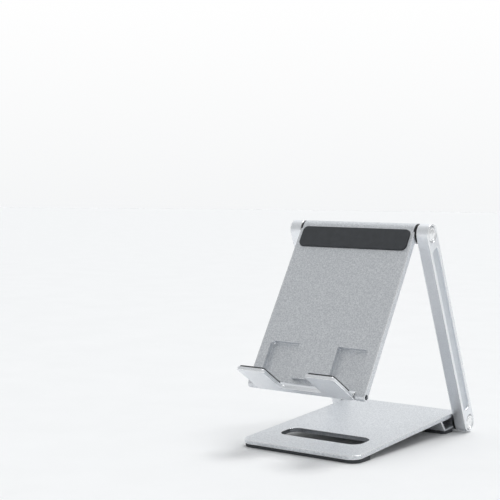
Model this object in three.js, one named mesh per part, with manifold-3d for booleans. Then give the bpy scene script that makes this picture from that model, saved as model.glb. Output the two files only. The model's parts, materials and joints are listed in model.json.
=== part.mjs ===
// Folding phone stand in anodised aluminium, opened for use.
//
// Two side arms tied by two shafts carry a base plate on the lower shaft and a
// back panel on the upper one.  A lip at the panel's lower end, here called
// the hook, holds the phone.  Folded, the base and the panel lie between the
// arms, one on each face, and the hook lies in a pocket in the panel.
//
// Millimetres, +Z up, -Y towards the user, +X to the user's right.  The origin
// is under the middle of the open stand, on the table.

import * as THREE from 'three';
import { mergeVertices } from 'three/addons/utils/BufferGeometryUtils.js';
import Module from 'manifold-3d';

// ---- Driving dimensions ----------------------------------------------------

const WIDTH = 74; // across the arms' outer faces
const ARM_WIDTH = 6;
const FOLDED_THICKNESS = 9.2; // arm depth, and the barrels' diameter
const AXIS_SPAN = 100.4; // lower hinge axis to upper hinge axis

const BASE_TILT = 3.8; // degrees, the base rises towards the rear
const ARM_LEAN = 24.6; // degrees, the arms lean towards the user
const PANEL_LEAN = 31.5; // degrees, the panel leans back
const LOWER_AXIS_HEIGHT = 5.1;

const GAP = 0.3; // between pieces that touch or turn on each other
const CHAMFER = 0.35;
const OVERRUN = 1; // joined solids run into each other by this much

const PLATE_HALF_WIDTH = 30.5; // base and panel, between the arms
const BARREL_HALF_LENGTH = 29.8;
const BARREL_BORE_RADIUS = 3.6;

const BASE_LENGTH = 94.5; // lower axis to front edge
const BASE_THICKNESS = 2;
const BASE_CORNER = 5.5;
const BOX_DEPTH_BELOW_AXIS = 2.6;
const BOX_WALL = 1;
const BOX_BOTTOM_END = 13.2;
const BOX_SLOPE_END = 17;
const SLOT_CENTRE = 71.4;
const SLOT_HALF_LENGTH = 21.4;
const SLOT_HALF_WIDTH = 6.8;
const SLOT_CORNER = 5;

const FRONT_FOOT_REAR = 81.7;
const FOOT_INSET = 0.4;
const REAR_FOOT_REAR = 2;
const REAR_FOOT_FRONT = 12.6;
const REAR_FOOT_HALF_WIDTH = 29.9;
const REAR_FOOT_CORNER = 3;

const PANEL_THICKNESS = 3.3;
const HOOK_AXIS_DROP = 82; // upper axis to hook axis, along the panel
const HOOK_AXIS_DEPTH = 2; // hook axis behind the panel's front face
const PANEL_FLOOR_END = 79.4;
const POCKET_DEPTH = 2.6;
const POCKET_CLEARANCE = 0.4; // past the folded hook's tips and its notch
const EAR_KNUCKLE_RADIUS = 1.9;
const PANEL_PAD_START = 0.9;
const PANEL_PAD_END = 11.3;
const PANEL_PAD_HALF_WIDTH = 28.5;
const PANEL_PAD_HEIGHT = 0.9;
const PANEL_PAD_RECESS = 0.6;
const PANEL_PAD_CORNER = 2.4;

const HOOK_HALF_WIDTH = 25.2;
const HOOK_REACH = 20.7;
const HOOK_THICKNESS = 1.5;
const HOOK_KNUCKLE_RADIUS = 2;
const HOOK_CORNER = 1.6;
const NOTCH_HALF_WIDTH = 10.5;
const NOTCH_BOTTOM = 3.7;
const HOOK_PAD_THICKNESS = 0.6;
const HOOK_PAD_INSET = 0.6;
const HOOK_PAD_START = 4.6;
const HOOK_PAD_GAP = 0.25; // between the pads and the hook's upper face

const SHAFT_RADIUS = 2;
const SHAFT_FLAT = 1.5; // axis to the flat at each end
const CAP_RADIUS = 3.4;
const CAP_THICKNESS = 1.5;
const CAP_EDGE_DROP = 0.12; // from the middle of the dome to its edge
const WASHER_THICKNESS = 0.7;
const WASHER_RADIUS = 4.45;
const BUSH_RADIUS = 3.3;
const BUSH_LENGTH = 14;
const HOOK_PIN_RADIUS = 0.9;
const HOOK_PIN_HALF_LENGTH = 27.8;
const KNUCKLE_BORE_RADIUS = 1.2;

const GROOVE_WIDTH = 5.8;
const GROOVE_DEPTH = 0.9;
const GROOVE_MARGIN = 7.5; // hinge axis to the groove's end
const GROOVE_CORNER = 2;

// ---- Worked out from them --------------------------------------------------

const RADIUS = FOLDED_THICKNESS / 2;
const ARM_OUTER = WIDTH / 2;
const ARM_INNER = ARM_OUTER - ARM_WIDTH;
const PANEL_BACK = RADIUS - PANEL_THICKNESS;
const HOOK_AXIS_OUT = RADIUS - HOOK_AXIS_DEPTH;
const CLEARANCE_RADIUS = RADIUS + GAP;
const FAR = 20; // further than any cut has to reach
const QUARTER = Math.PI / 2;
const ARC_STEP = Math.PI / 18;

const COLOURS = {
  blasted: { color: 0xd2d6da, roughness: 0.5, metalness: 0.85 },
  polished: { color: 0xe8eaec, roughness: 0.15, metalness: 1 },
  steel: { color: 0xb4b6b8, roughness: 0.3, metalness: 1 },
  rubber: { color: 0x3c3f43, roughness: 0.85, metalness: 0 },
  washer: { color: 0x18191a, roughness: 0.6, metalness: 0 },
  bush: { color: 0xc9c4b4, roughness: 0.6, metalness: 0 },
};

// ---- Solids ----------------------------------------------------------------

const wasm = await Module();
wasm.setup();

function solid(geometry) {
  geometry.deleteAttribute('normal');
  geometry.deleteAttribute('uv');
  const merged = mergeVertices(geometry, 1e-4);
  return new wasm.Manifold(new wasm.Mesh({
    numProp: 3,
    vertProperties: new Float32Array(merged.attributes.position.array),
    triVerts: new Uint32Array(merged.index.array),
  }));
}

function geometryOf(manifold) {
  const { vertProperties, triVerts } = manifold.getMesh();
  const geometry = new THREE.BufferGeometry();
  geometry.setAttribute('position', new THREE.BufferAttribute(vertProperties, 3));
  geometry.setIndex(new THREE.BufferAttribute(triVerts, 1));
  geometry.computeVertexNormals();
  return geometry;
}

// An outline is a list of [a, b] points.
function extruded(outline, from, to, bevel) {
  const shape = new THREE.Shape(outline.map(([a, b]) => new THREE.Vector2(a, b)));
  const geometry = new THREE.ExtrudeGeometry(shape, {
    depth: to - from - 2 * bevel,
    bevelEnabled: bevel > 0,
    bevelThickness: bevel,
    bevelSize: bevel,
    bevelOffset: -bevel,
    bevelSegments: 1,
  });
  return geometry.translate(0, 0, from + bevel);
}

const X = new THREE.Vector3(1, 0, 0);
const Y = new THREE.Vector3(0, 1, 0);
const Z = new THREE.Vector3(0, 0, 1);
const SIDE_VIEW = new THREE.Matrix4().makeBasis(Y, Z, X);
const FRONT_VIEW = new THREE.Matrix4().makeBasis(X, Z, Y.clone().negate());

// A side profile, drawn in (y, z), taken across from one x to another.
function acrossX(outline, from, to, bevel = 0) {
  return solid(extruded(outline, from, to, bevel).applyMatrix4(SIDE_VIEW));
}

// A plan, drawn in (x, y), taken up from one z to another.
function upZ(outline, from, to, bevel = 0) {
  return solid(extruded(outline, from, to, bevel));
}

// An elevation, drawn in (x, z), taken forwards from one depth to another.
// The depth counts along -Y.
function forwards(outline, from, to, bevel = 0) {
  return solid(extruded(outline, from, to, bevel).applyMatrix4(FRONT_VIEW));
}

// Points along an arc, with both its ends, from one angle to another.
function arc(a, b, radius, start, end) {
  if (radius === 0) return [[a, b]];
  const steps = Math.max(2, Math.ceil(Math.abs(end - start) / ARC_STEP));
  return Array.from({ length: steps + 1 }, (_, i) => {
    const angle = start + ((end - start) * i) / steps;
    return [a + radius * Math.cos(angle), b + radius * Math.sin(angle)];
  });
}

function circle(radius, a = 0, b = 0) {
  return arc(a, b, radius, 0, 4 * QUARTER).slice(1);
}

// A rectangle with one radius for its corners at low b and one at high b.
function roundedRectangle(a0, a1, b0, b1, low, high) {
  return [
    ...arc(a1 - low, b0 + low, low, -QUARTER, 0),
    ...arc(a1 - high, b1 - high, high, 0, QUARTER),
    ...arc(a0 + high, b1 - high, high, QUARTER, 2 * QUARTER),
    ...arc(a0 + low, b0 + low, low, 2 * QUARTER, 3 * QUARTER),
  ];
}

// A stadium along b, round about both centres.
function stadium(radius, b0, b1) {
  return [
    ...arc(0, b0, radius, -2 * QUARTER, 0),
    ...arc(0, b1, radius, 0, 2 * QUARTER),
  ];
}

function block(x0, x1, y0, y1, z0, z1) {
  const geometry = new THREE.BoxGeometry(x1 - x0, y1 - y0, z1 - z0);
  return solid(geometry.translate((x0 + x1) / 2, (y0 + y1) / 2, (z0 + z1) / 2));
}

// A ring or disc turned about X from its (radius, x) profile, for the right
// side or, turned end for end, for the left.
function turned(profile, side) {
  const points = profile.map(([radius, x]) => new THREE.Vector2(radius, x));
  const geometry = new THREE.LatheGeometry(points, (4 * QUARTER) / ARC_STEP);
  return solid(geometry.rotateZ((-side * Math.PI) / 2));
}

function bothSides(makeCut) {
  return makeCut(1).add(makeCut(-1));
}

function sideSpan(side, inner, outer) {
  return side > 0 ? [inner, outer] : [-outer, -inner];
}

// ---- Scene graph -----------------------------------------------------------

const stand = new THREE.Group();

function frameAt(parent, y, z, degrees) {
  const frame = new THREE.Group();
  frame.position.set(0, y, z);
  frame.rotation.x = THREE.MathUtils.degToRad(degrees);
  parent.add(frame);
  return frame;
}

const arms = frameAt(stand, 0, LOWER_AXIS_HEIGHT, ARM_LEAN);
const base = frameAt(stand, 0, LOWER_AXIS_HEIGHT, BASE_TILT);
const panel = frameAt(arms, 0, AXIS_SPAN, -ARM_LEAN - PANEL_LEAN);
const hook = frameAt(panel, -HOOK_AXIS_OUT, -HOOK_AXIS_DROP, 0);

function place(frame, name, shape, colour, z = 0) {
  const material = new THREE.MeshStandardMaterial(COLOURS[colour]);
  const mesh = new THREE.Mesh(geometryOf(shape), material);
  mesh.name = name;
  mesh.position.z = z;
  frame.add(mesh);
}

// ---- Arms: +Z runs from the lower axis to the upper one ----------------------

// The shaft's end, or the bore that it fits, with its flat towards +Z.
function flattedCircle(clearance) {
  const radius = SHAFT_RADIUS + clearance;
  const angle = Math.asin((SHAFT_FLAT + clearance) / radius);
  return arc(0, 0, radius, 2 * QUARTER - angle, 4 * QUARTER + angle);
}

function arm(side) {
  let shape = acrossX(stadium(RADIUS, 0, AXIS_SPAN), ...sideSpan(side, ARM_INNER, ARM_OUTER), CHAMFER);
  const groove = roundedRectangle(
    -GROOVE_WIDTH / 2, GROOVE_WIDTH / 2,
    GROOVE_MARGIN, AXIS_SPAN - GROOVE_MARGIN, GROOVE_CORNER, GROOVE_CORNER,
  );
  shape = shape.subtract(acrossX(groove, ...sideSpan(side, ARM_OUTER - GROOVE_DEPTH, FAR + ARM_OUTER)));
  const capSeat = sideSpan(side, ARM_OUTER - CAP_THICKNESS - GAP, FAR + ARM_OUTER);
  for (const z of [0, AXIS_SPAN]) {
    shape = shape.subtract(acrossX(circle(CAP_RADIUS + GAP), ...capSeat).translate([0, 0, z]));
    const bore = acrossX(flattedCircle(GAP), ...sideSpan(side, 0, FAR + ARM_OUTER));
    shape = shape.subtract(bore.translate([0, 0, z]));
  }
  return shape;
}

place(arms, 'left_arm', arm(-1), 'blasted');
place(arms, 'right_arm', arm(1), 'blasted');

// ---- The two hinges ----------------------------------------------------------

const SHAFT_HALF_LENGTH = ARM_OUTER - CAP_THICKNESS - 2 * GAP;

function shaft() {
  const round = acrossX(circle(SHAFT_RADIUS), -ARM_INNER, ARM_INNER);
  return round.add(acrossX(flattedCircle(0), -SHAFT_HALF_LENGTH, SHAFT_HALF_LENGTH));
}

function cap(side) {
  const inner = ARM_OUTER - CAP_THICKNESS;
  return turned([
    [0, inner],
    [CAP_RADIUS, inner],
    [CAP_RADIUS, ARM_OUTER - CHAMFER],
    [CAP_RADIUS - CHAMFER, ARM_OUTER - CAP_EDGE_DROP],
    [CAP_RADIUS / 2, ARM_OUTER - CAP_EDGE_DROP / 4],
    [0, ARM_OUTER],
  ], side);
}

function ring(side, innerRadius, outerRadius, from, to) {
  return turned([
    [innerRadius, from],
    [outerRadius, from],
    [outerRadius, to],
    [innerRadius, to],
    [innerRadius, from],
  ], side);
}

const WASHER_START = (BARREL_HALF_LENGTH + ARM_INNER - WASHER_THICKNESS) / 2;
const BUSH_END = BARREL_HALF_LENGTH - GAP;

// The bushes turn with the barrel, the rest stays in the arms.
for (const [level, barrelFrame, z] of [['lower', base, 0], ['upper', panel, AXIS_SPAN]]) {
  place(arms, `${level}_shaft`, shaft(), 'steel', z);
  for (const [name, side] of [['left', -1], ['right', 1]]) {
    const washer = ring(
      side, SHAFT_RADIUS + GAP, WASHER_RADIUS, WASHER_START, WASHER_START + WASHER_THICKNESS,
    );
    place(arms, `${level}_washer_${name}`, washer, 'washer', z);
    place(arms, `${level}_cap_${name}`, cap(side), 'polished', z);
    const bush = ring(side, SHAFT_RADIUS + GAP, BUSH_RADIUS, BUSH_END - BUSH_LENGTH, BUSH_END);
    place(barrelFrame, `${level}_bush_${name}`, bush, 'bush');
  }
}

// Room for a washer at each end of a barrel, in a plate wider than the barrel.
function washerRoom() {
  return bothSides((side) => acrossX(
    circle(CLEARANCE_RADIUS), ...sideSpan(side, BARREL_HALF_LENGTH, FAR + ARM_OUTER),
  ));
}

// ---- Base: -Y runs from the lower axis to the front edge ---------------------

// The plate, the thin-walled box under its rear end and the barrel, as one
// extruded profile with two hollows.
function baseExtrusion() {
  const plateUnder = RADIUS - BASE_THICKNESS;
  const boxUnder = -BOX_DEPTH_BELOW_AXIS;
  const boxInside = boxUnder + BOX_WALL;
  const slopeRun = (BOX_SLOPE_END - BOX_BOTTOM_END) / (plateUnder - boxUnder);
  const wallAlongY = BOX_WALL * Math.hypot(1, slopeRun);
  const angleAt = (height) => 2 * QUARTER - Math.asin(height / RADIUS);

  const outline = [
    [-BASE_LENGTH, RADIUS],
    [-BASE_LENGTH, plateUnder],
    [-BOX_SLOPE_END, plateUnder],
    [-BOX_BOTTOM_END, boxUnder],
    ...arc(0, 0, RADIUS, angleAt(boxUnder), 5 * QUARTER),
  ];
  const hollow = [
    [wallAlongY - BOX_SLOPE_END, plateUnder],
    [wallAlongY - BOX_BOTTOM_END - slopeRun * BOX_WALL, boxInside],
    ...arc(0, 0, RADIUS, angleAt(boxInside), angleAt(plateUnder)),
  ];
  const half = PLATE_HALF_WIDTH;
  return acrossX(outline, -half, half)
    .subtract(acrossX(hollow, -FAR - half, FAR + half))
    .subtract(acrossX(circle(BARREL_BORE_RADIUS), -FAR - half, FAR + half));
}

function basePlate() {
  const plan = roundedRectangle(
    -PLATE_HALF_WIDTH, PLATE_HALF_WIDTH, -BASE_LENGTH, FAR, BASE_CORNER, 0,
  );
  const slot = roundedRectangle(
    -SLOT_HALF_LENGTH, SLOT_HALF_LENGTH,
    -SLOT_CENTRE - SLOT_HALF_WIDTH, -SLOT_CENTRE + SLOT_HALF_WIDTH, SLOT_CORNER, SLOT_CORNER,
  );
  return baseExtrusion()
    .intersect(upZ(plan, -FAR, RADIUS, CHAMFER))
    .subtract(upZ(slot, 0, FAR))
    .subtract(washerRoom());
}

// Height of the table in the base's tilted frame.
function tableAt(y) {
  const tilt = THREE.MathUtils.degToRad(BASE_TILT);
  return -(LOWER_AXIS_HEIGHT + y * Math.sin(tilt)) / Math.cos(tilt);
}

// Both feet are wedges, so that they lie flat on the table.
function frontFoot() {
  const top = RADIUS - BASE_THICKNESS - GAP;
  const front = FOOT_INSET - BASE_LENGTH;
  const rear = -FRONT_FOOT_REAR;
  const side = [[rear, top], [front, top], [front, tableAt(front)], [rear, tableAt(rear)]];
  const halfWidth = PLATE_HALF_WIDTH - FOOT_INSET;
  const plan = roundedRectangle(
    -halfWidth, halfWidth, front, rear, BASE_CORNER - FOOT_INSET, FOOT_INSET,
  );
  return acrossX(side, -halfWidth, halfWidth).intersect(upZ(plan, -FAR, FAR));
}

function rearFoot() {
  const top = -BOX_DEPTH_BELOW_AXIS - GAP;
  const front = -REAR_FOOT_FRONT;
  const rear = -REAR_FOOT_REAR;
  const side = [
    [front, top],
    [front, tableAt(front)],
    [rear, tableAt(rear)],
    ...arc(0, 0, CLEARANCE_RADIUS,
      3 * QUARTER - Math.asin(REAR_FOOT_REAR / CLEARANCE_RADIUS),
      2 * QUARTER - Math.asin(top / CLEARANCE_RADIUS)),
  ];
  const plan = roundedRectangle(
    -REAR_FOOT_HALF_WIDTH, REAR_FOOT_HALF_WIDTH, front, rear, REAR_FOOT_CORNER, REAR_FOOT_CORNER,
  );
  const halfWidth = REAR_FOOT_HALF_WIDTH;
  return acrossX(side, -halfWidth, halfWidth).intersect(upZ(plan, -FAR, FAR));
}

place(base, 'base_plate', basePlate(), 'blasted');
place(base, 'base_front_foot', frontFoot(), 'rubber');
place(base, 'base_rear_foot', rearFoot(), 'rubber');

// ---- Panel: -Z runs down from the upper axis, and -Y faces the phone ----------

// A length of the panel, from one distance below the upper axis to another,
// as an elevation.
function panelArea(halfWidth, from, to, upperCorner, lowerCorner) {
  return roundedRectangle(-halfWidth, halfWidth, -to, -from, lowerCorner, upperCorner);
}

function backPanel() {
  const half = PLATE_HALF_WIDTH;
  const pocketHalf = HOOK_HALF_WIDTH + GAP;
  const pocketTop = HOOK_AXIS_DROP - HOOK_REACH - POCKET_CLEARANCE;
  const pocketFloor = RADIUS - POCKET_DEPTH;
  const islandHalf = NOTCH_HALF_WIDTH - GAP;
  const islandEnd = HOOK_AXIS_DROP - NOTCH_BOTTOM - POCKET_CLEARANCE;
  const padRoom = panelArea(
    PANEL_PAD_HALF_WIDTH + GAP, PANEL_PAD_START - GAP, PANEL_PAD_END + GAP,
    PANEL_PAD_CORNER + GAP, PANEL_PAD_CORNER + GAP,
  );
  const plate = [
    [-RADIUS, 0], [-RADIUS, -PANEL_FLOOR_END],
    [-HOOK_AXIS_OUT - EAR_KNUCKLE_RADIUS, -HOOK_AXIS_DROP],
    [-PANEL_BACK, -HOOK_AXIS_DROP], [-PANEL_BACK, 0],
  ];
  const lowerEdge = -HOOK_AXIS_DROP - EAR_KNUCKLE_RADIUS;
  const outline = roundedRectangle(-half, half, lowerEdge - OVERRUN, FAR, 0, 0);

  return acrossX(plate, -half, half)
    .add(acrossX(circle(EAR_KNUCKLE_RADIUS, -HOOK_AXIS_OUT, -HOOK_AXIS_DROP), -half, half))
    .add(acrossX(circle(RADIUS), -half, half))
    .intersect(forwards(outline, -FAR, RADIUS, CHAMFER))
    .subtract(block(-pocketHalf, pocketHalf, -FAR, FAR, -HOOK_AXIS_DROP - FAR, -PANEL_FLOOR_END))
    .subtract(forwards(panelArea(pocketHalf, pocketTop, HOOK_AXIS_DROP + FAR, HOOK_CORNER, 0),
      pocketFloor, FAR))
    .add(forwards(panelArea(islandHalf, pocketTop - OVERRUN, islandEnd, 0, HOOK_CORNER),
      pocketFloor - GAP, RADIUS))
    .subtract(forwards(padRoom, RADIUS - PANEL_PAD_RECESS, FAR))
    .subtract(acrossX(circle(BARREL_BORE_RADIUS), -FAR - half, FAR + half))
    .subtract(acrossX(circle(KNUCKLE_BORE_RADIUS, -HOOK_AXIS_OUT, -HOOK_AXIS_DROP),
      -FAR - half, FAR + half))
    .subtract(washerRoom());
}

function panelPad() {
  const area = panelArea(
    PANEL_PAD_HALF_WIDTH, PANEL_PAD_START, PANEL_PAD_END, PANEL_PAD_CORNER, PANEL_PAD_CORNER,
  );
  return forwards(area, RADIUS - PANEL_PAD_RECESS + GAP, RADIUS + PANEL_PAD_HEIGHT);
}

place(panel, 'back_panel', backPanel(), 'blasted');
place(panel, 'panel_pad', panelPad(), 'rubber');

const hookPin = acrossX(circle(HOOK_PIN_RADIUS), -HOOK_PIN_HALF_LENGTH, HOOK_PIN_HALF_LENGTH)
  .translate([0, -HOOK_AXIS_OUT, -HOOK_AXIS_DROP]);
place(panel, 'hook_pin', hookPin, 'steel');

// ---- Hook: -Y runs out from its axis, and -Z is its underside -----------------

const HOOK_UPPER_FACE = HOOK_THICKNESS - HOOK_KNUCKLE_RADIUS; // below its axis

function hookPlan() {
  const half = HOOK_HALF_WIDTH;
  const notch = NOTCH_HALF_WIDTH;
  const corner = HOOK_CORNER;
  const tip = corner - HOOK_REACH;
  const bottom = -NOTCH_BOTTOM - corner;
  return [
    [half, 0],
    [-half, 0],
    ...arc(corner - half, tip, corner, 2 * QUARTER, 3 * QUARTER),
    ...arc(-notch - corner, tip, corner, 3 * QUARTER, 4 * QUARTER),
    ...arc(corner - notch, bottom, corner, 2 * QUARTER, QUARTER),
    ...arc(notch - corner, bottom, corner, QUARTER, 0),
    ...arc(notch + corner, tip, corner, 2 * QUARTER, 3 * QUARTER),
    ...arc(half - corner, tip, corner, 3 * QUARTER, 4 * QUARTER),
  ];
}

// The heel meets the end of the panel's pocket floor, and stops the hook open.
function hookBody() {
  const half = HOOK_HALF_WIDTH;
  const floorEnd = HOOK_AXIS_DROP - PANEL_FLOOR_END - GAP;
  const floorDepth = HOOK_AXIS_OUT - RADIUS + POCKET_DEPTH;
  const heelBack = HOOK_AXIS_OUT - PANEL_BACK;
  return upZ(hookPlan(), -HOOK_KNUCKLE_RADIUS, HOOK_UPPER_FACE, CHAMFER / 2)
    .add(acrossX(circle(HOOK_KNUCKLE_RADIUS), -half, half))
    .add(block(-half, half, floorDepth, heelBack, 0, floorEnd))
    .subtract(acrossX(circle(KNUCKLE_BORE_RADIUS), -FAR - half, FAR + half));
}

function hookPad(side) {
  const [from, to] = sideSpan(
    side, NOTCH_HALF_WIDTH + HOOK_PAD_INSET, HOOK_HALF_WIDTH - HOOK_PAD_INSET,
  );
  const area = roundedRectangle(
    from, to, HOOK_PAD_INSET - HOOK_REACH, -HOOK_PAD_START, HOOK_CORNER, HOOK_CORNER / 2,
  );
  const bottom = HOOK_UPPER_FACE + HOOK_PAD_GAP;
  return upZ(area, bottom, bottom + HOOK_PAD_THICKNESS);
}

place(hook, 'hook', hookBody(), 'blasted');
place(hook, 'hook_pad_left', hookPad(-1), 'rubber');
place(hook, 'hook_pad_right', hookPad(1), 'rubber');

// ---- Origin under the middle of the open stand --------------------------------

stand.updateMatrixWorld(true);
const bounds = new THREE.Box3().setFromObject(stand, true);
stand.position.y = -(bounds.min.y + bounds.max.y) / 2;

export default stand;
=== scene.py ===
"""Finished surfaces and studio for the folding aluminium phone stand.

Lengths are in millimetres in the frame of each hinged part, and the frames are
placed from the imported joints.  -Y is towards the user, +Z is up.
"""

import json
from math import asin, atan2, ceil, cos, degrees, hypot, pi, radians, sin, sqrt

import bmesh
import bpy
from mathutils import Matrix, Vector


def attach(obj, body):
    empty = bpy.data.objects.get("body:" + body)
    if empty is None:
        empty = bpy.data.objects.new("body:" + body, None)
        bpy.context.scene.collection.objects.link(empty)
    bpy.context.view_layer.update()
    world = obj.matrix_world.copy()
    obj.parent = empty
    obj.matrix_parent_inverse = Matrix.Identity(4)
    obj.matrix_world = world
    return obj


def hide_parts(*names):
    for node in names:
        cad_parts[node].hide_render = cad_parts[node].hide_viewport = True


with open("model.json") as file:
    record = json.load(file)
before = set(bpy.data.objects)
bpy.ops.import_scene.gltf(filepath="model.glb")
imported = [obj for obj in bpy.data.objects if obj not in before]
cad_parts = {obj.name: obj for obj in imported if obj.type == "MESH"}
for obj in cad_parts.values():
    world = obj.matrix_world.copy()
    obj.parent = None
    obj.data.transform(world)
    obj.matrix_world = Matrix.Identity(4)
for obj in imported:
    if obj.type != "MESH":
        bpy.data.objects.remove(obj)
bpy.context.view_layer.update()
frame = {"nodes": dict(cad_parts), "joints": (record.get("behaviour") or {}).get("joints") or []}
MM = 0.001

# ---- Driving dimensions, those of the CAD parts -------------------------------

HALF_WIDTH = 37.0
ARM_WIDTH = 6.0
RADIUS = 4.6
BASE_TILT = 3.8
GAP = 0.3

PLATE_HALF_WIDTH = 30.5
BARREL_HALF_LENGTH = 29.8
BARREL_BORE = 3.6

BASE_LENGTH = 94.5
BASE_THICKNESS = 2.0
BASE_CORNER = 5.5
BOX_DEPTH = 2.6
BOX_WALL = 1.0
BOX_BOTTOM_END = 13.2
BOX_SLOPE_END = 17.0
SLOT_CENTRE = 71.4
SLOT_HALF_LENGTH = 21.4
SLOT_HALF_WIDTH = 6.8
SLOT_CORNER = 5.0

FRONT_FOOT_REAR = 81.7
FOOT_INSET = 0.4
REAR_FOOT_REAR = 2.0
REAR_FOOT_FRONT = 12.6
REAR_FOOT_HALF_WIDTH = 29.9
REAR_FOOT_CORNER = 3.0

PANEL_THICKNESS = 3.3
HOOK_AXIS_DROP = 82.0
HOOK_AXIS_OUT = 2.6
PANEL_FLOOR_END = 79.4
POCKET_DEPTH = 2.6
POCKET_CLEARANCE = 0.4
EAR_RADIUS = 1.9
PAD_START = 0.9
PAD_END = 11.3
PAD_HALF_WIDTH = 28.5
PAD_HEIGHT = 0.9
PAD_RECESS = 0.6
PAD_CORNER = 2.4
PAD_CLEARANCE = 0.1

HOOK_HALF_WIDTH = 25.2
HOOK_REACH = 20.7
HOOK_THICKNESS = 1.5
HOOK_KNUCKLE = 2.0
HOOK_CORNER = 1.6
NOTCH_HALF_WIDTH = 10.5
NOTCH_BOTTOM = 3.7
HOOK_PAD_TOP = 0.35
HOOK_PAD_INSET = 0.6
HOOK_PAD_START = 4.6
PIN_BORE = 1.2

SHAFT_RADIUS = 2.0
SHAFT_FLAT = 1.5
CAP_RADIUS = 3.4
CAP_THICKNESS = 1.5
CAP_RIM_DROP = 0.16
CAP_ROUND = 0.45
CAP_BACK_EDGE = 0.1
CAP_RING_OUTER = 2.62
CAP_RING_INNER = 2.32
CAP_RING_SLOPE = 0.08
CAP_RING_DEPTH = 0.14
WASHER_THICKNESS = 0.7
WASHER_RADIUS = 4.45
WASHER_CORNER = 0.16

GROOVE_HALF_WIDTH = 2.9
GROOVE_DEPTH = 0.9
GROOVE_MARGIN = 7.5
GROOVE_CORNER = 2.0

# Widths of the bright outer chamfers and of the smaller edges.
CHAMFER = 0.35
BREAK = 0.12
GROOVE_CHAMFER = 0.25
HOOK_CHAMFER = 0.22
RUBBER_EDGE = 0.3
THIN_RUBBER_EDGE = 0.2

ARM_OUTER = HALF_WIDTH
ARM_INNER = HALF_WIDTH - ARM_WIDTH
PANEL_BACK = RADIUS - PANEL_THICKNESS
HOOK_UPPER_FACE = HOOK_THICKNESS - HOOK_KNUCKLE
BEYOND = 12.0  # how far a cut runs past what it cuts

ARC_STEP = radians(5)
LATHE_STEPS = 96
DOME_STEP = 15  # degrees between the rings of a cap's dome
MERGE_DISTANCE = 1e-5

# Turns, in degrees, that pick the edges to bevel.
SQUARE_CORNERS = 60
SLOPES_TOO = 30
SHADED_SHARP = 50

# Places in the list of a piece's finishes. The third place holds painted shade: a darker tone
# for faces where shade falls.
PLAIN, CUT_EDGE, PAINTED_SHADE = range(3)
SIDES = {"left": -1, "right": 1}

# ---- Frames of the hinged parts -----------------------------------------------

ANCHOR = {joint["name"]: Vector(joint["pos_m"]) for joint in frame["joints"]}
LOWER_AXIS = ANCHOR["base_hinge"]
UPPER_AXIS = ANCHOR["panel_hinge"]
HOOK_AXIS = ANCHOR["hook_hinge"]


def lean(low, high):
    """Angle about X that turns straight up into the way from low to high."""
    way = high - low
    return atan2(-way.y, way.z)


def part_frame(origin, angle):
    turn = Matrix.Rotation(angle, 4, "X")
    return Matrix.Translation(origin) @ turn @ Matrix.Scale(MM, 4)


ARM_SPAN = (UPPER_AXIS - LOWER_AXIS).length / MM
PANEL_ANGLE = lean(HOOK_AXIS, UPPER_AXIS) - atan2(-HOOK_AXIS_OUT, HOOK_AXIS_DROP)
ARMS = part_frame(LOWER_AXIS, lean(LOWER_AXIS, UPPER_AXIS))
BASE = part_frame(LOWER_AXIS, radians(BASE_TILT))
PANEL = part_frame(UPPER_AXIS, PANEL_ANGLE)
HOOK = part_frame(HOOK_AXIS, PANEL_ANGLE)

# ---- Outlines, lists of (a, b) points -----------------------------------------


def arc(a, b, radius, start, end):
    """Points along an arc, with both its ends.  Angles are in degrees."""
    if radius == 0:
        return [(a, b)]
    start, end = radians(start), radians(end)
    steps = max(2, ceil(abs(end - start) / ARC_STEP))
    angles = [start + (end - start) * i / steps for i in range(steps + 1)]
    return [(a + radius * cos(t), b + radius * sin(t)) for t in angles]


def circle(radius, a=0.0, b=0.0):
    return arc(a, b, radius, 0, 360)[1:]


def rounded_rectangle(a0, a1, b0, b1, low, high):
    """One radius for the corners at low b, and one for those at high b."""
    return [
        *arc(a1 - low, b0 + low, low, -90, 0),
        *arc(a1 - high, b1 - high, high, 0, 90),
        *arc(a0 + high, b1 - high, high, 90, 180),
        *arc(a0 + low, b0 + low, low, 180, 270),
    ]


# ---- Solids -------------------------------------------------------------------


def new_object(name, mesh):
    piece = bpy.data.objects.new(name, mesh)
    bpy.context.scene.collection.objects.link(piece)
    return piece


def across(a, b, depth):
    """A side profile (y, z), taken across along x."""
    return (depth, a, b)


def up(a, b, depth):
    """A plan (x, y), taken up along z."""
    return (a, b, depth)


def forwards(a, b, depth):
    """An elevation (x, z), taken forwards, along -y."""
    return (a, -depth, b)


def prism(name, view, outline, start, end):
    shape = bmesh.new()
    rings = []
    for depth in (start, end):
        rings.append([shape.verts.new(view(a, b, depth)) for a, b in outline])
    shape.faces.new(rings[0][::-1])
    shape.faces.new(rings[1])
    count = len(outline)
    for i in range(count):
        j = (i + 1) % count
        shape.faces.new((rings[0][i], rings[0][j], rings[1][j], rings[1][i]))
    bmesh.ops.recalc_face_normals(shape, faces=shape.faces)
    mesh = bpy.data.meshes.new(name)
    shape.to_mesh(mesh)
    shape.free()
    return new_object(name, mesh)


def rod(radius, start, end, y=0.0, z=0.0):
    """A round cutter along x."""
    return prism("cutter", across, circle(radius, y, z), start, end)


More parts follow.
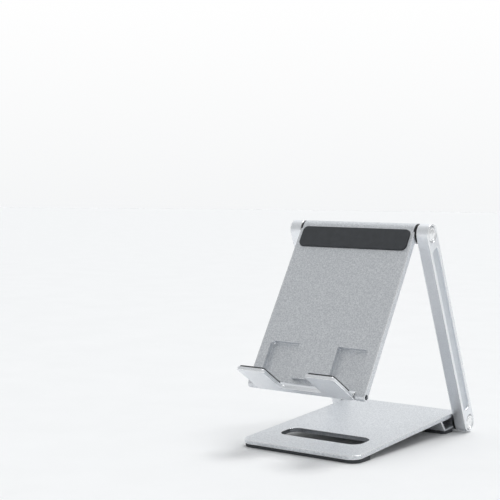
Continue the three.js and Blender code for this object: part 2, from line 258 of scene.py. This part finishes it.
def turned(name, profile, side, z=0.0):
    """A ring or disc about x from its closed (radius, x) profile."""
    shape = bmesh.new()
    rings = []
    for step in range(LATHE_STEPS):
        angle = 2 * pi * step / LATHE_STEPS
        rings.append([
            shape.verts.new((side * x, radius * cos(angle), z + radius * sin(angle)))
            for radius, x in profile
        ])
    count = len(profile)
    for step in range(LATHE_STEPS):
        here, there = rings[step], rings[(step + 1) % LATHE_STEPS]
        for i in range(count):
            j = (i + 1) % count
            if profile[i][0] or profile[j][0]:
                shape.faces.new((here[i], here[j], there[j], there[i]))
    bmesh.ops.remove_doubles(shape, verts=shape.verts, dist=MERGE_DISTANCE)
    bmesh.ops.recalc_face_normals(shape, faces=shape.faces)
    mesh = bpy.data.meshes.new(name)
    shape.to_mesh(mesh)
    shape.free()
    return new_object(name, mesh)


def apply_modifiers(piece):
    bpy.context.view_layer.update()
    evaluated = piece.evaluated_get(bpy.context.evaluated_depsgraph_get())
    mesh = bpy.data.meshes.new_from_object(evaluated)
    piece.modifiers.clear()
    old = piece.data
    piece.data = mesh
    bpy.data.meshes.remove(old)


def combine(piece, operation, *others):
    for other in others:
        step = piece.modifiers.new("combine", "BOOLEAN")
        step.operation = operation
        step.solver = "EXACT"
        step.object = other
        apply_modifiers(piece)
        bpy.data.objects.remove(other)
    return piece


def cut(piece, *cutters):
    return combine(piece, "DIFFERENCE", *cutters)


def keep(piece, *outlines):
    return combine(piece, "INTERSECT", *outlines)


def everywhere(middle):
    return True


def ease(piece, width, sharper_than, material, segments=2, where=everywhere):
    """Bevel each edge that turns by more than an angle, in degrees."""
    shape = bmesh.new()
    shape.from_mesh(piece.data)
    weights = shape.edges.layers.float
    weight = weights.get("bevel_weight_edge") or weights.new("bevel_weight_edge")
    for edge in shape.edges:
        sharp = edge.calc_face_angle(0) > radians(sharper_than)
        middle = (edge.verts[0].co + edge.verts[1].co) / 2
        edge[weight] = float(sharp and where(middle))
    shape.to_mesh(piece.data)
    shape.free()
    step = piece.modifiers.new("ease", "BEVEL")
    step.width = width
    step.segments = segments
    step.limit_method = "WEIGHT"
    step.use_clamp_overlap = False
    step.material = material
    apply_modifiers(piece)
    return piece


def washer_rooms():
    return [
        rod(RADIUS + GAP, side * BARREL_HALF_LENGTH, side * (ARM_OUTER + BEYOND))
        for side in SIDES.values()
    ]


# ---- Procedural materials -----------------------------------------------------


class Nodes:
    """A material and short ways to add nodes to it."""

    def __init__(self, name):
        self.material = bpy.data.materials.new(name)
        self.material.use_nodes = True
        self.tree = self.material.node_tree
        self.shader = self.tree.nodes["Principled BSDF"]
        self.place = self.add("ShaderNodeTexCoord").outputs["Object"]

    def add(self, kind):
        return self.tree.nodes.new(kind)

    def link(self, output, node, name):
        self.tree.links.new(output, node.inputs[name])

    def noise(self, size_mm, detail=3.0, roughness=0.6):
        node = self.add("ShaderNodeTexNoise")
        node.inputs["Scale"].default_value = 1 / (size_mm * MM)
        node.inputs["Detail"].default_value = detail
        node.inputs["Roughness"].default_value = roughness
        self.link(self.place, node, "Vector")
        return node.outputs["Fac"]

    def remap(self, value, low, high, start=0.3, end=0.7):
        node = self.add("ShaderNodeMapRange")
        ends = {"From Min": start, "From Max": end, "To Min": low, "To Max": high}
        for name, number in ends.items():
            node.inputs[name].default_value = number
        self.link(value, node, "Value")
        return node.outputs["Result"]

    def ramp(self, value, *stops):
        node = self.add("ShaderNodeValToRGB")
        elements = node.color_ramp.elements
        while len(elements) < len(stops):
            elements.new(0.5)
        for element, (position, colour) in zip(elements, stops):
            element.position = position
            element.color = (*colour, 1)
        self.link(value, node, "Fac")
        return node.outputs["Color"]

    def sum(self, first, second, weight):
        node = self.add("ShaderNodeMath")
        node.operation = "MULTIPLY_ADD"
        self.link(second, node, 0)
        node.inputs[1].default_value = weight
        self.link(first, node, 2)
        return node.outputs[0]

    def bump(self, height, strength, depth_mm):
        node = self.add("ShaderNodeBump")
        node.inputs["Strength"].default_value = strength
        node.inputs["Distance"].default_value = depth_mm * MM
        self.link(height, node, "Height")
        self.link(node.outputs["Normal"], self.shader, "Normal")

    def set(self, **values):
        for name, value in values.items():
            self.shader.inputs[name].default_value = value


def aluminium(name, grain_mm, dark, light, strength):
    """Blasted and anodised: dimples of a few tenths, with faint mottling."""
    n = Nodes(name)
    grain = n.noise(grain_mm, detail=2.5, roughness=0.75)
    mottle = n.noise(1.3, detail=2)
    tone = n.sum(grain, mottle, 0.15)
    n.link(n.ramp(tone, (0.46, dark), (0.72, light)), n.shader, "Base Color")
    n.link(n.remap(grain, 0.34, 0.48), n.shader, "Roughness")
    dimples = n.sum(grain, n.noise(0.2, detail=2), 0.6)
    n.bump(dimples, strength, 0.08)
    n.set(Metallic=1.0)
    return n.material


def bright_cut():
    """Diamond-cut chamfers: bright, with fine tool marks."""
    n = Nodes("bright_cut")
    marks = n.noise(0.3, detail=2)
    tone = n.ramp(marks, (0.3, (0.84, 0.85, 0.86)), (0.7, (0.95, 0.955, 0.96)))
    n.link(tone, n.shader, "Base Color")
    n.link(n.remap(marks, 0.12, 0.24), n.shader, "Roughness")
    n.set(Metallic=1.0)
    return n.material


TURNING_MM = 0.5  # one radian of the rings on a cap
WAVE_RADIANS = 20  # what a wave texture of scale 1 turns over a unit


def polished_cap():
    """Turned and polished: faint rings about the hinge axes."""
    n = Nodes("polished_cap")
    rings = []
    for axis in (LOWER_AXIS, UPPER_AXIS):
        shift = n.add("ShaderNodeMapping")
        shift.inputs["Location"].default_value = -axis
        n.link(n.place, shift, "Vector")
        wave = n.add("ShaderNodeTexWave")
        wave.wave_type = "RINGS"
        wave.rings_direction = "X"
        wave.inputs["Scale"].default_value = 1 / (TURNING_MM * MM) / WAVE_RADIANS
        wave.inputs["Distortion"].default_value = 0.4
        n.link(shift.outputs["Vector"], wave, "Vector")
        rings.append(wave.outputs["Fac"])
    turning = n.sum(rings[0], rings[1], 1.0)
    tone = n.ramp(turning, (0.2, (0.80, 0.81, 0.82)), (1.0, (0.93, 0.935, 0.94)))
    n.link(tone, n.shader, "Base Color")
    n.link(n.remap(n.noise(0.4), 0.1, 0.2), n.shader, "Roughness")
    n.set(Metallic=1.0)
    return n.material


def plain_finish(name, dark, light, metallic, rough, grain_mm, depth_mm):
    """A colour between two, a roughness between two, and a fine grain."""
    n = Nodes(name)
    grain = n.noise(grain_mm)
    mottle = n.noise(grain_mm * 9)
    n.link(n.ramp(n.sum(grain, mottle, 0.5), (0.5, dark), (1.0, light)), n.shader, "Base Color")
    n.link(n.remap(grain, *rough), n.shader, "Roughness")
    n.bump(grain, 0.4, depth_mm)
    n.set(Metallic=metallic)
    return n.material


# Name, size of the grain in mm, dark and light tone, strength of the bump.
BLASTED = aluminium("blasted_aluminium", 0.6, (0.60, 0.62, 0.65), (0.84, 0.86, 0.88), 0.6)
SATIN = aluminium("satin_aluminium", 0.35, (0.83, 0.85, 0.88), (0.93, 0.945, 0.965), 0.3)
# Painted shade: a darker copy of the aluminium for the groove's floor, standing in for the shade
# in the recess.
GROOVE_SHADE = aluminium("groove_painted_shade", 0.35, (0.60, 0.63, 0.665), (0.70, 0.73, 0.765), 0.35)
# Painted shade: a much darker copy of the aluminium for the base's underside and the walls of
# its slot, standing in for the shade under the plate and in the slot.
UNDERSIDE_SHADE = aluminium("underside_painted_shade", 0.35, (0.20, 0.21, 0.225), (0.30, 0.31, 0.33), 0.35)
BRIGHT = bright_cut()
CAP = polished_cap()

# Name, dark and light tone, metallic, least and most roughness, and the grain's size and
# depth in mm.
RUBBER = plain_finish("grey_rubber", (0.030, 0.033, 0.037), (0.052, 0.056, 0.062),
                      0.0, (0.6, 0.8), 0.3, 0.03)
STEEL = plain_finish("shaft_steel", (0.50, 0.50, 0.51), (0.64, 0.64, 0.65),
                     1.0, (0.22, 0.34), 0.25, 0.01)
WASHER = plain_finish("black_washer", (0.008, 0.008, 0.009), (0.018, 0.018, 0.019),
                      0.0, (0.38, 0.52), 0.3, 0.01)
BUSH = plain_finish("friction_bush", (0.55, 0.52, 0.43), (0.66, 0.63, 0.54),
                    0.0, (0.4, 0.55), 0.3, 0.01)

FINISHES = {
    "blasted_aluminium": BLASTED,
    "grey_rubber": RUBBER,
    "shaft_steel": STEEL,
    "polished_cap": CAP,
    "black_washer": WASHER,
    "friction_bush": BUSH,
}


# ---- From a shape to a finished piece -----------------------------------------


def dress(piece, place, body, slot, node, *materials):
    """Put a piece where it belongs, smooth it and hand it to its body."""
    piece.name = f"{node}_finished"
    mesh = piece.data
    mesh.transform(place)
    finishes = [face.material_index for face in mesh.polygons]
    mesh.materials.clear()
    for material in materials:
        mesh.materials.append(material)
    for face, finish in zip(mesh.polygons, finishes):
        face.use_smooth = True
        face.material_index = min(finish, len(materials) - 1)
    mesh.set_sharp_from_angle(angle=radians(SHADED_SHARP))
    weighted = piece.modifiers.new("normals", "WEIGHTED_NORMAL")
    weighted.keep_sharp = True
    apply_modifiers(piece)
    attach(piece, body)
    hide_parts(node)
    return piece


def paint(piece, finish, where):
    """Give a finish, by its place, to the faces whose middles are chosen."""
    for face in piece.data.polygons:
        if where(face.center):
            face.material_index = finish


def two_materials(piece):
    """Give a piece the places PLAIN and CUT_EDGE, for its bevels to use."""
    piece.data.materials.append(BLASTED)
    piece.data.materials.append(BRIGHT)
    return piece


# ---- Arms ---------------------------------------------------------------------


def flatted_circle(radius, flat):
    """A circle with its upper part cut off at a height above its centre."""
    angle = degrees(asin(flat / radius))
    return arc(0, 0, radius, 180 - angle, 360 + angle)


def groove_rim(middle):
    """The groove's edge in the arm's outer face, and not the face's own edge."""
    along = GROOVE_MARGIN - BREAK < middle.z < ARM_SPAN - GROOVE_MARGIN + BREAK
    inside = abs(middle.y) < RADIUS - 2 * CHAMFER
    return along and inside and abs(middle.x) > ARM_OUTER - BREAK


# The groove's floor, whose faces get painted shade.
def groove_floor(middle):
    return abs(abs(middle.x) - ARM_OUTER + GROOVE_DEPTH) < BREAK


def cap_room(side, z):
    """A cutter for a cap's recess, with the chamfer round its rim."""
    radius = CAP_RADIUS + GAP
    profile = [
        (0, ARM_OUTER - CAP_THICKNESS - GAP),
        (radius, ARM_OUTER - CAP_THICKNESS - GAP),
        (radius, ARM_OUTER - GROOVE_CHAMFER),
        (radius + GROOVE_CHAMFER + 1, ARM_OUTER + 1),
        (0, ARM_OUTER + 1),
    ]
    return turned("cutter", profile, side, z)


def cap_room_rim(middle):
    """The chamfer that cap_room has cut."""
    below_face = BREAK / 2 < ARM_OUTER - abs(middle.x) < GROOVE_CHAMFER - BREAK / 2
    from_axis = min(hypot(middle.y, middle.z - z) for z in (0, ARM_SPAN))
    return below_face and 0 < from_axis - CAP_RADIUS - GAP < GROOVE_CHAMFER


def arm(name, side):
    outer, inner, past = side * ARM_OUTER, side * ARM_INNER, side * (ARM_OUTER + BEYOND)
    outline = [*arc(0, 0, RADIUS, 180, 360), *arc(0, ARM_SPAN, RADIUS, 0, 180)]
    piece = two_materials(prism(name, across, outline, inner, outer))
    ease(piece, CHAMFER, SQUARE_CORNERS, CUT_EDGE)
    groove = rounded_rectangle(
        -GROOVE_HALF_WIDTH, GROOVE_HALF_WIDTH,
        GROOVE_MARGIN, ARM_SPAN - GROOVE_MARGIN, GROOVE_CORNER, GROOVE_CORNER,
    )
    cut(piece, prism("groove", across, groove, side * (ARM_OUTER - GROOVE_DEPTH), past))
    ease(piece, GROOVE_CHAMFER, SQUARE_CORNERS, CUT_EDGE, segments=1, where=groove_rim)
    for z in (0, ARM_SPAN):
        section = flatted_circle(SHAFT_RADIUS + GAP, SHAFT_FLAT + GAP)
        bore = [(y, z + height) for y, height in section]
        cut(piece, cap_room(side, z),
            prism("bore", across, bore, side * (ARM_INNER - BEYOND), past))
    paint(piece, CUT_EDGE, cap_room_rim)
    # Painted shade on the groove's floor.
    paint(piece, PAINTED_SHADE, groove_floor)
    return dress(piece, ARMS, "arm_frame", "blasted_aluminium", name, SATIN, BRIGHT, GROOVE_SHADE)


def cap(name, side, z):
    """A turned cap: rounded rim, a fine groove and a shallow dome."""
    back, rim = ARM_OUTER - CAP_THICKNESS, ARM_OUTER - CAP_RIM_DROP
    dome = [
        (CAP_RING_INNER * cos(radians(angle)), rim + CAP_RIM_DROP * sin(radians(angle)))
        for angle in range(DOME_STEP, 90, DOME_STEP)
    ]
    profile = [
        (0, back),
        (CAP_RADIUS - CAP_BACK_EDGE, back),
        (CAP_RADIUS, back + CAP_BACK_EDGE),
        *arc(CAP_RADIUS - CAP_ROUND, rim - CAP_ROUND, CAP_ROUND, 0, 90),
        (CAP_RING_OUTER, rim),
        (CAP_RING_OUTER - CAP_RING_SLOPE, rim - CAP_RING_DEPTH),
        (CAP_RING_INNER + CAP_RING_SLOPE, rim - CAP_RING_DEPTH),
        (CAP_RING_INNER, rim),
        *dome,
        (0, ARM_OUTER),
    ]
    piece = turned(name, profile, side, z)
    return dress(piece, ARMS, "arm_frame", "polished_cap", name, CAP)


def washer(name, side, z):
    start = (BARREL_HALF_LENGTH + ARM_INNER - WASHER_THICKNESS) / 2
    end = start + WASHER_THICKNESS
    profile = [
        (SHAFT_RADIUS + GAP, start),
        *arc(WASHER_RADIUS - WASHER_CORNER, start + WASHER_CORNER, WASHER_CORNER, -90, 0),
        *arc(WASHER_RADIUS - WASHER_CORNER, end - WASHER_CORNER, WASHER_CORNER, 0, 90),
        (SHAFT_RADIUS + GAP, end),
    ]
    piece = turned(name, profile, side, z)
    return dress(piece, ARMS, "arm_frame", "black_washer", name, WASHER)


# ---- Base ---------------------------------------------------------------------


def before_barrel(middle):
    return middle.y < -RADIUS - GAP


def beneath_or_in_slot(middle):
    """The plate's underside and the wall of its slot, which get painted shade."""
    along = abs(middle.y + SLOT_CENTRE) < SLOT_HALF_WIDTH + BREAK
    in_slot = along and abs(middle.x) < SLOT_HALF_LENGTH + BREAK
    underside = abs(middle.z - RADIUS + BASE_THICKNESS) < BREAK
    return underside or (in_slot and middle.z < RADIUS - 2 * BREAK)


def base_plate():
    under = RADIUS - BASE_THICKNESS
    floor = BOX_WALL - BOX_DEPTH
    run = (BOX_SLOPE_END - BOX_BOTTOM_END) / (under + BOX_DEPTH)
    wall = BOX_WALL * hypot(1, run)
    outline = [
        (-BASE_LENGTH - BEYOND, RADIUS),
        (-BASE_LENGTH - BEYOND, under),
        (-BOX_SLOPE_END, under),
        (-BOX_BOTTOM_END, -BOX_DEPTH),
        *arc(0, 0, RADIUS, 180 + degrees(asin(BOX_DEPTH / RADIUS)), 450),
    ]
    hollow = [
        (wall - BOX_SLOPE_END, under),
        (wall - BOX_BOTTOM_END - run * BOX_WALL, floor),
        *arc(0, 0, RADIUS,
             180 - degrees(asin(floor / RADIUS)), 180 - degrees(asin(under / RADIUS))),
    ]
    half, past = PLATE_HALF_WIDTH, PLATE_HALF_WIDTH + BEYOND
    plan = rounded_rectangle(-half, half, -BASE_LENGTH, BEYOND, BASE_CORNER, 0)
    slot = rounded_rectangle(
        -SLOT_HALF_LENGTH, SLOT_HALF_LENGTH,
        -SLOT_CENTRE - SLOT_HALF_WIDTH, -SLOT_CENTRE + SLOT_HALF_WIDTH,
        SLOT_CORNER, SLOT_CORNER,
    )
    piece = two_materials(prism("base_plate_body", across, outline, -past, past))
    keep(piece, prism("plan", up, plan, -BEYOND, BEYOND))
    cut(piece, *washer_rooms(), rod(BARREL_BORE, -past, past))
    ease(piece, CHAMFER, SLOPES_TOO, CUT_EDGE, where=before_barrel)
    cut(piece,
        prism("hollow", across, hollow, -past, past),
        prism("slot", up, slot, 0, BEYOND))
    ease(piece, BREAK, SQUARE_CORNERS, CUT_EDGE, segments=1, where=before_barrel)
    # Painted shade on the plate's underside and the slot's wall.
    paint(piece, PAINTED_SHADE, beneath_or_in_slot)
    return dress(piece, BASE, "base", "blasted_aluminium", "base_plate",
                 BLASTED, BRIGHT, UNDERSIDE_SHADE)


def table_at(y):
    """Height of the table in the base's tilted frame."""
    tilt = radians(BASE_TILT)
    return -(LOWER_AXIS.z / MM + y * sin(tilt)) / cos(tilt)


def front_foot():
    top = RADIUS - BASE_THICKNESS
    front, rear = FOOT_INSET - BASE_LENGTH, -FRONT_FOOT_REAR
    half = PLATE_HALF_WIDTH - FOOT_INSET
    side = [(rear, top), (front, top), (front, table_at(front)), (rear, table_at(rear))]
    corner = BASE_CORNER - FOOT_INSET
    plan = rounded_rectangle(-half, half, front, rear, corner, 2 * FOOT_INSET)
    piece = prism("front_foot_rubber", up, plan, -BEYOND, BEYOND)
    keep(piece, prism("side", across, side, -half - BEYOND, half + BEYOND))
    ease(piece, RUBBER_EDGE, SQUARE_CORNERS, PLAIN)
    return dress(piece, BASE, "base", "grey_rubber", "base_front_foot", RUBBER)


def rear_foot():
    front, rear = -REAR_FOOT_FRONT, -REAR_FOOT_REAR
    top = -BOX_DEPTH
    half = REAR_FOOT_HALF_WIDTH
    side = [
        (front, top),
        (front, table_at(front)),
        (rear, table_at(rear)),
        *arc(0, 0, RADIUS, 270 - degrees(asin(REAR_FOOT_REAR / RADIUS)),
             180 + degrees(asin(BOX_DEPTH / RADIUS))),
    ]
    plan = rounded_rectangle(-half, half, front, rear, REAR_FOOT_CORNER, REAR_FOOT_CORNER)
    piece = prism("rear_foot_rubber", across, side, -half - BEYOND, half + BEYOND)
    keep(piece, prism("plan", up, plan, -BEYOND, BEYOND))
    ease(piece, THIN_RUBBER_EDGE, SQUARE_CORNERS, PLAIN)
    return dress(piece, BASE, "base", "grey_rubber", "base_rear_foot", RUBBER)


# ---- Panel --------------------------------------------------------------------


def panel_area(half, start, end, upper_corner, lower_corner):
    """A length of the panel as an elevation, from one drop to another."""
    return rounded_rectangle(-half, half, -end, -start, lower_corner, upper_corner)


def below_barrel(middle):
    """The panel's own edges, and not those of the hook pin's bore."""
    past_pin = middle.z < PIN_BORE + GAP - HOOK_AXIS_DROP
    return middle.z < -RADIUS - GAP and not past_pin


def clear_of_washers(middle):
    return abs(middle.x) < BARREL_HALF_LENGTH - GAP or middle.z < -RADIUS - GAP


def pocket_outline():
    """The hook's pocket around the island that fills its notch."""
    half, island = HOOK_HALF_WIDTH + GAP, NOTCH_HALF_WIDTH - GAP
    top = HOOK_REACH - HOOK_AXIS_DROP + POCKET_CLEARANCE
    bottom = NOTCH_BOTTOM - HOOK_AXIS_DROP + POCKET_CLEARANCE
    corner = HOOK_CORNER
    return [
        (-half, -HOOK_AXIS_DROP - BEYOND),
        (half, -HOOK_AXIS_DROP - BEYOND),
        *arc(half - corner, top - corner, corner, 0, 90),
        (island, top),
        *arc(island - corner, bottom + corner, corner, 0, -90),
        *arc(corner - island, bottom + corner, corner, -90, -180),
        (-island, top),
        *arc(corner - half, top - corner, corner, 90, 180),
    ]


def back_panel():
    half, past = PLATE_HALF_WIDTH, PLATE_HALF_WIDTH + BEYOND
    knuckle_end = degrees(atan2(sqrt(EAR_RADIUS ** 2 - (HOOK_AXIS_OUT - PANEL_BACK) ** 2),
                                HOOK_AXIS_OUT - PANEL_BACK))
    barrel_start = -degrees(atan2(sqrt(RADIUS ** 2 - PANEL_BACK ** 2), -PANEL_BACK))
    outline = [
        (-RADIUS, -PANEL_FLOOR_END),
        *arc(-HOOK_AXIS_OUT, -HOOK_AXIS_DROP, EAR_RADIUS, 180, 360 + knuckle_end),
        *arc(0, 0, RADIUS, barrel_start, 180),
    ]
    pocket_half = HOOK_HALF_WIDTH + GAP
    piece = two_materials(prism("back_panel_body", across, outline, -half, half))
    cut(piece, *washer_rooms(),
        rod(BARREL_BORE, -past, past),
        rod(PIN_BORE, -past, past, -HOOK_AXIS_OUT, -HOOK_AXIS_DROP))
    ease(piece, CHAMFER, SLOPES_TOO, CUT_EDGE, where=below_barrel)
    room = panel_area(PAD_HALF_WIDTH + PAD_CLEARANCE, PAD_START - PAD_CLEARANCE,
                      PAD_END + PAD_CLEARANCE, PAD_CORNER, PAD_CORNER)
    gap_below = panel_area(pocket_half, PANEL_FLOOR_END, HOOK_AXIS_DROP + BEYOND, 0, 0)
    cut(piece,
        prism("pocket", forwards, pocket_outline(), RADIUS - POCKET_DEPTH, BEYOND),
        prism("gap_below", forwards, gap_below, -BEYOND, BEYOND),
        prism("pad_room", forwards, room, RADIUS - PAD_RECESS, BEYOND))
    ease(piece, BREAK, SQUARE_CORNERS, CUT_EDGE, segments=1, where=clear_of_washers)
    return dress(piece, PANEL, "panel", "blasted_aluminium", "back_panel", BLASTED, BRIGHT)


def panel_pad():
    area = panel_area(PAD_HALF_WIDTH, PAD_START, PAD_END, PAD_CORNER, PAD_CORNER)
    piece = prism("panel_pad_rubber", forwards, area,
                  RADIUS - PAD_RECESS, RADIUS + PAD_HEIGHT)
    ease(piece, RUBBER_EDGE, SQUARE_CORNERS, PLAIN, segments=3)
    return dress(piece, PANEL, "panel", "grey_rubber", "panel_pad", RUBBER)


# ---- Hook ---------------------------------------------------------------------


def hook_plan():
    half, notch, corner = HOOK_HALF_WIDTH, NOTCH_HALF_WIDTH, HOOK_CORNER
    tip, bottom = corner - HOOK_REACH, -NOTCH_BOTTOM - corner
    return [
        (half, BEYOND),
        (-half, BEYOND),
        *arc(corner - half, tip, corner, 180, 270),
        *arc(-notch - corner, tip, corner, 270, 360),
        *arc(corner - notch, bottom, corner, 180, 90),
        *arc(notch - corner, bottom, corner, 90, 0),
        *arc(notch + corner, tip, corner, 180, 270),
        *arc(half - corner, tip, corner, 270, 360),
    ]


def hook():
    radius = HOOK_KNUCKLE
    heel_front = HOOK_AXIS_OUT - RADIUS + POCKET_DEPTH
    heel_back = HOOK_AXIS_OUT - PANEL_BACK
    heel_top = HOOK_AXIS_DROP - PANEL_FLOOR_END - GAP

    def angle_at(y):
        return degrees(atan2(sqrt(radius ** 2 - y ** 2), y))

    face_angle = 180 - degrees(asin(HOOK_UPPER_FACE / radius))
    outline = [
        (-HOOK_REACH - BEYOND, -radius),
        *arc(0, 0, radius, -90, angle_at(heel_back)),
        (heel_back, heel_top),
        (heel_front, heel_top),
        *arc(0, 0, radius, angle_at(heel_front), face_angle),
        (-HOOK_REACH - BEYOND, HOOK_UPPER_FACE),
    ]
    past = HOOK_HALF_WIDTH + BEYOND
    piece = two_materials(prism("hook_body", across, outline, -past, past))
    keep(piece, prism("plan", up, hook_plan(), -BEYOND, BEYOND))
    ease(piece, HOOK_CHAMFER, SLOPES_TOO, CUT_EDGE)
    cut(piece, rod(PIN_BORE, -past, past))
    return dress(piece, HOOK, "hook", "blasted_aluminium", "hook", SATIN, BRIGHT)


def hook_pad(name, side):
    inner, outer = NOTCH_HALF_WIDTH + HOOK_PAD_INSET, HOOK_HALF_WIDTH - HOOK_PAD_INSET
    low, high = sorted((side * inner, side * outer))
    area = rounded_rectangle(low, high, HOOK_PAD_INSET - HOOK_REACH, -HOOK_PAD_START,
                             HOOK_CORNER, HOOK_CORNER / 2)
    piece = prism(name + "_rubber", up, area, HOOK_UPPER_FACE, HOOK_PAD_TOP)
    ease(piece, THIN_RUBBER_EDGE, SQUARE_CORNERS, PLAIN)
    return dress(piece, HOOK, "hook", "grey_rubber", name, RUBBER)


# ---- The whole stand ----------------------------------------------------------


def dress_cad_nodes():
    """The pieces inside the hinges keep their CAD shape."""
    for node in frame["nodes"].values():
        for entry in node.material_slots:
            entry.material = FINISHES[entry.material.name]


def build_stand():
    dress_cad_nodes()
    for word, side in SIDES.items():
        arm(f"{word}_arm", side)
        for level, z in (("lower", 0), ("upper", ARM_SPAN)):
            cap(f"{level}_cap_{word}", side, z)
            washer(f"{level}_washer_{word}", side, z)
        hook_pad(f"hook_pad_{word}", side)
    base_plate()
    front_foot()
    rear_foot()
    back_panel()
    panel_pad()
    hook()


# ---- Studio -------------------------------------------------------------------

CAMERA_PLACE = Vector((299.5, -495.4, 118.6)) * MM
CAMERA_HEADING = radians(35.8)
CAMERA_DOWN = radians(3.07)
CAMERA_ROLL = radians(0.61)
CAMERA_LENS = 90.2
SENSOR_WIDTH = 36

# Lengths of the studio, in metres.
STUDIO_RADIUS = 5.0
WHITE_HEIGHT = 0.9
HORIZON = (0.915, 0.923, 0.93)
MIDDLE = (0, 0, 0.04)
SOFTBOX_PLACE = (0.8, 0.3, 0.5)
SOFTBOX_SIDE = 0.4

SOFTBOX_WATTS = 0.2
SUN_WAY = (0.1, 0.35, 0.93)
SUN_SPREAD = 30  # degrees
SUN_STRENGTH = 1.4

# The room's light, from facing away from the bright way to facing it.
BRIGHT_WAY = (-0.5, 0.75, 0.43)
ROOM_GREYS = ((0.0, 0.66), (0.4, 0.58), (0.75, 0.6), (0.93, 0.84))
ROOM_TINT = (0.975, 0.99, 1)


def camera():
    data = bpy.data.cameras.new("camera")
    data.lens = CAMERA_LENS
    data.sensor_width = SENSOR_WIDTH
    data.clip_start = 0.01
    item = bpy.data.objects.new("camera", data)
    bpy.context.scene.collection.objects.link(item)
    heading = Matrix.Rotation(CAMERA_HEADING, 4, "Z")
    tilt = Matrix.Rotation(pi / 2 - CAMERA_DOWN, 4, "X")
    roll = Matrix.Rotation(CAMERA_ROLL, 4, "Z")
    item.matrix_world = Matrix.Translation(CAMERA_PLACE) @ (heading @ tilt) @ roll
    bpy.context.scene.camera = item


def light(name, kind, way_to_light):
    data = bpy.data.lights.new(name, kind)
    item = bpy.data.objects.new(name, data)
    bpy.context.scene.collection.objects.link(item)
    item.rotation_euler = way_to_light.to_track_quat("Z", "Y").to_euler()
    return item


def overhead():
    """A far, wide light, so that the floor is as bright out to the horizon."""
    sun = light("top", "SUN", Vector(SUN_WAY))
    sun.data.energy = SUN_STRENGTH
    sun.data.angle = radians(SUN_SPREAD)


def softbox():
    box = light("side", "AREA", Vector(SOFTBOX_PLACE) - Vector(MIDDLE))
    box.location = SOFTBOX_PLACE
    box.data.shape = "RECTANGLE"
    box.data.size = box.data.size_y = SOFTBOX_SIDE
    box.data.energy = SOFTBOX_WATTS


def floor():
    shape = bmesh.new()
    bmesh.ops.create_circle(shape, cap_ends=True, radius=STUDIO_RADIUS, segments=128)
    mesh = bpy.data.meshes.new("floor")
    shape.to_mesh(mesh)
    shape.free()
    piece = new_object("floor", mesh)
    n = Nodes("pale_floor")
    tone = n.ramp(n.noise(40), (0.3, (0.86, 0.865, 0.87)), (0.7, (0.88, 0.885, 0.89)))
    n.link(tone, n.shader, "Base Color")
    n.set(Roughness=0.6, Metallic=0.0)
    piece.data.materials.append(n.material)


def soft_room():
    """A world that is brightest behind the stand and overhead."""
    world = bpy.data.worlds.new("studio")
    world.use_nodes = True
    tree = world.node_tree
    place = tree.nodes.new("ShaderNodeTexCoord")
    facing = tree.nodes.new("ShaderNodeVectorMath")
    facing.operation = "DOT_PRODUCT"
    facing.inputs[1].default_value = BRIGHT_WAY
    tree.links.new(place.outputs["Generated"], facing.inputs[0])
    spread = tree.nodes.new("ShaderNodeMapRange")
    spread.inputs["From Min"].default_value = -1
    tree.links.new(facing.outputs["Value"], spread.inputs["Value"])
    ramp = tree.nodes.new("ShaderNodeValToRGB")
    tree.links.new(spread.outputs["Result"], ramp.inputs["Fac"])
    elements = ramp.color_ramp.elements
    for position, grey in ROOM_GREYS:
        element = elements.new(position)
        element.color = (*(grey * tint for tint in ROOM_TINT), 1)
    elements.remove(elements[0])
    elements.remove(elements[-1])
    tree.links.new(ramp.outputs["Color"], tree.nodes["Background"].inputs["Color"])
    return world


def backdrop():
    """A dome that is seen but gives no light, white above and like the floor below."""
    shape = bmesh.new()
    bmesh.ops.create_uvsphere(shape, u_segments=64, v_segments=32, radius=STUDIO_RADIUS)
    mesh = bpy.data.meshes.new("backdrop")
    shape.to_mesh(mesh)
    shape.free()
    piece = new_object("backdrop", mesh)
    material = bpy.data.materials.new("backdrop")
    material.use_nodes = True
    tree = material.node_tree
    glow = tree.nodes.new("ShaderNodeEmission")
    split = tree.nodes.new("ShaderNodeSeparateXYZ")
    tree.links.new(tree.nodes.new("ShaderNodeTexCoord").outputs["Object"], split.inputs[0])
    rise = tree.nodes.new("ShaderNodeMapRange")
    rise.inputs["From Max"].default_value = WHITE_HEIGHT
    tree.links.new(split.outputs["Z"], rise.inputs["Value"])
    ramp = tree.nodes.new("ShaderNodeValToRGB")
    ramp.color_ramp.elements[0].color = (*HORIZON, 1)
    ramp.color_ramp.elements[1].color = (1, 1, 1, 1)
    tree.links.new(rise.outputs["Result"], ramp.inputs["Fac"])
    tree.links.new(ramp.outputs["Color"], glow.inputs["Color"])
    tree.links.new(glow.outputs["Emission"], tree.nodes["Material Output"].inputs["Surface"])
    mesh.materials.append(material)
    piece.visible_diffuse = False
    piece.visible_glossy = False
    piece.visible_transmission = False
    piece.visible_shadow = False


def studio():
    scene = bpy.context.scene
    scene.view_settings.view_transform = "Standard"
    scene.world = soft_room()
    overhead()
    softbox()
    floor()
    backdrop()
    camera()


build_stand()
studio()
